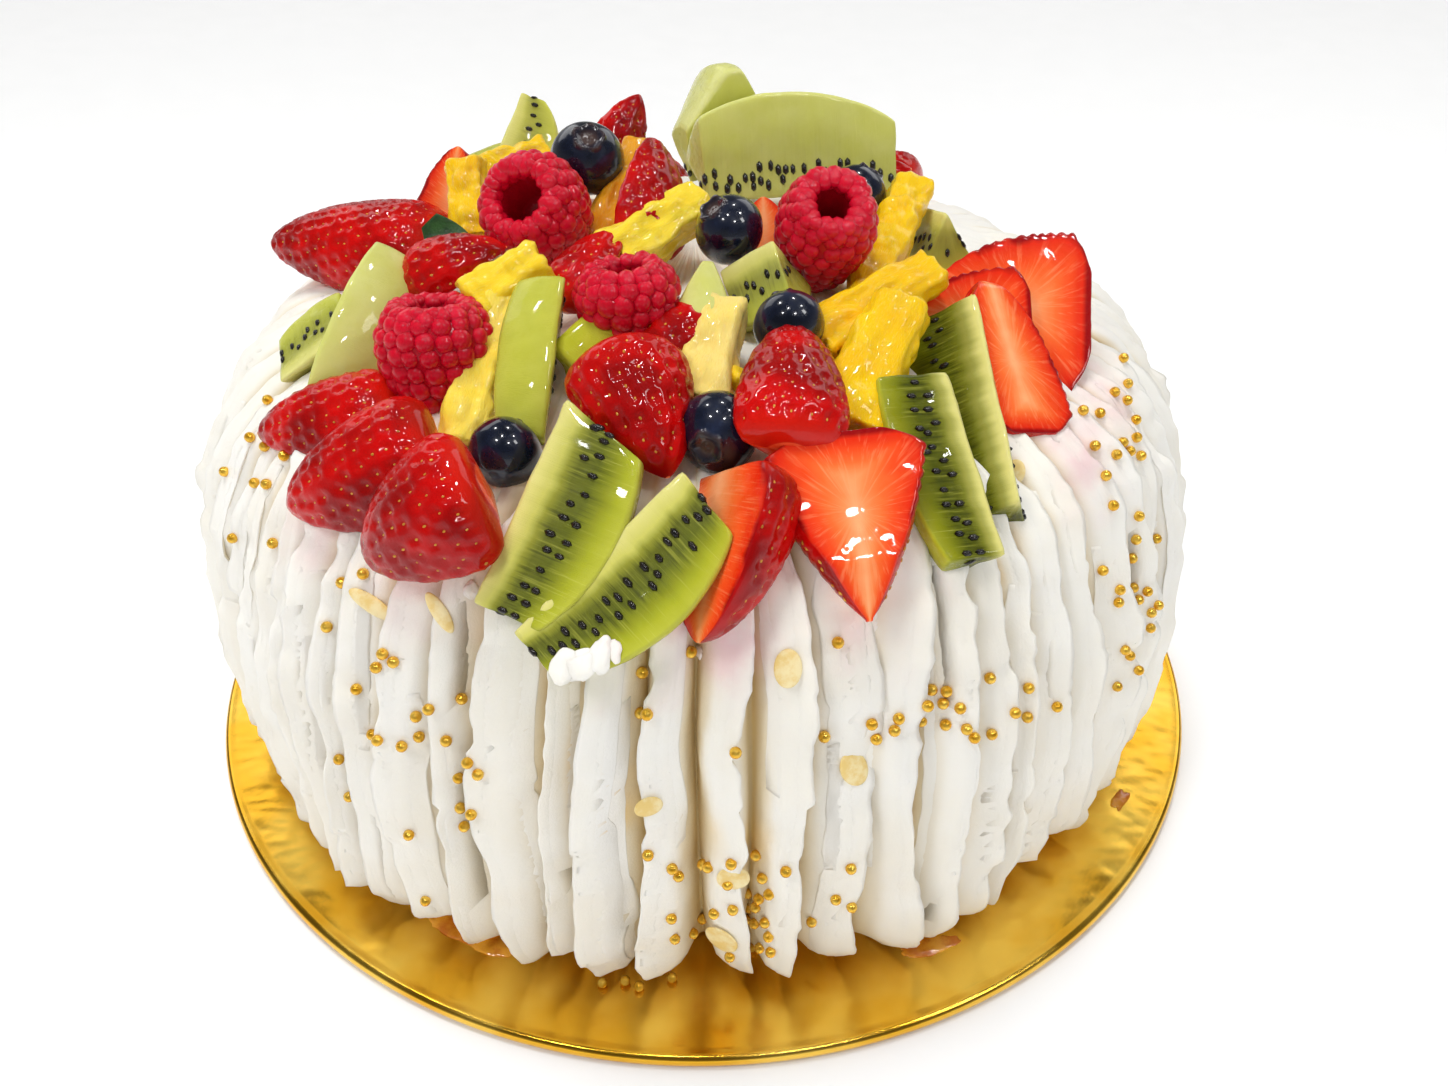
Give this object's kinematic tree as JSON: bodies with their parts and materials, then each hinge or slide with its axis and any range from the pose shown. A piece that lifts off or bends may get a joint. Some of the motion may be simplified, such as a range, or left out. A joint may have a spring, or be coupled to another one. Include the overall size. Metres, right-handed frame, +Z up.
{
  "type": "pavlova",
  "caption": "Round whipped-cream cake piped with upright strokes, heaped with cut strawberries, kiwi, pineapple and berries, on a round gold card board.",
  "frame": {"origin": "middle of the board's underside", "axes": "+Z up; -Y towards the side that the picture shows, +X to that viewer's right"},
  "size_m": [0.25, 0.25, 0.1424],
  "materials": {
    "board": "gold foil on card, embossed, glossy",
    "cream": "soft piped cream, satin",
    "strawberry": "glazed strawberry",
    "raspberry": "glazed raspberry",
    "blueberry": "glazed blueberry",
    "kiwi": "glazed kiwi",
    "pineapple": "glazed pineapple",
    "leaf": "leaf, satin"
  },
  "bodies": {
    "root": {"blueberry_centre": "blueberry", "blueberry_front": "blueberry", "blueberry_hidden": "blueberry", "blueberry_left": "blueberry", "blueberry_right": "blueberry", "blueberry_top": "blueberry", "cake_board": "board", "cream": "cream", "kiwi_back_left": "kiwi", "kiwi_dome": "kiwi", "kiwi_far_left": "kiwi", "kiwi_front": "kiwi", "kiwi_front_left": "kiwi", "kiwi_left": "kiwi", "kiwi_peak": "kiwi", "kiwi_point": "kiwi", "kiwi_rear_left": "kiwi", "kiwi_rear_right": "kiwi", "kiwi_right_back": "kiwi", "kiwi_right_front": "kiwi", "kiwi_right_tip": "kiwi", "kiwi_smooth": "kiwi", "kiwi_tooth": "kiwi", "kiwi_tucked": "kiwi", "leaf_scrap": "leaf", "pineapple_amber": "pineapple", "pineapple_back_left": "pineapple", "pineapple_centre": "pineapple", "pineapple_left": "pineapple", "pineapple_pale": "pineapple", "pineapple_right_1": "pineapple", "pineapple_right_2": "pineapple", "pineapple_right_3": "pineapple", "pineapple_stick": "pineapple", "pineapple_stub": "pineapple", "raspberry_back": "raspberry", "raspberry_left": "raspberry", "raspberry_middle": "raspberry", "raspberry_right": "raspberry", "strawberry_back_left": "strawberry", "strawberry_back_tip": "strawberry", "strawberry_between": "strawberry", "strawberry_dark": "strawberry", "strawberry_far_right": "strawberry", "strawberry_half": "strawberry", "strawberry_left_1": "strawberry", "strawberry_left_2": "strawberry", "strawberry_left_3": "strawberry", "strawberry_left_tip": "strawberry", "strawberry_middle": "strawberry", "strawberry_peach": "strawberry", "strawberry_rear_left": "strawberry", "strawberry_rear_right": "strawberry", "strawberry_slice_front": "strawberry", "strawberry_slice_right_1": "strawberry", "strawberry_slice_right_2": "strawberry", "strawberry_slice_right_3": "strawberry", "strawberry_sliver": "strawberry", "strawberry_up": "strawberry", "strawberry_upright": "strawberry"}
  },
  "joints": []
}
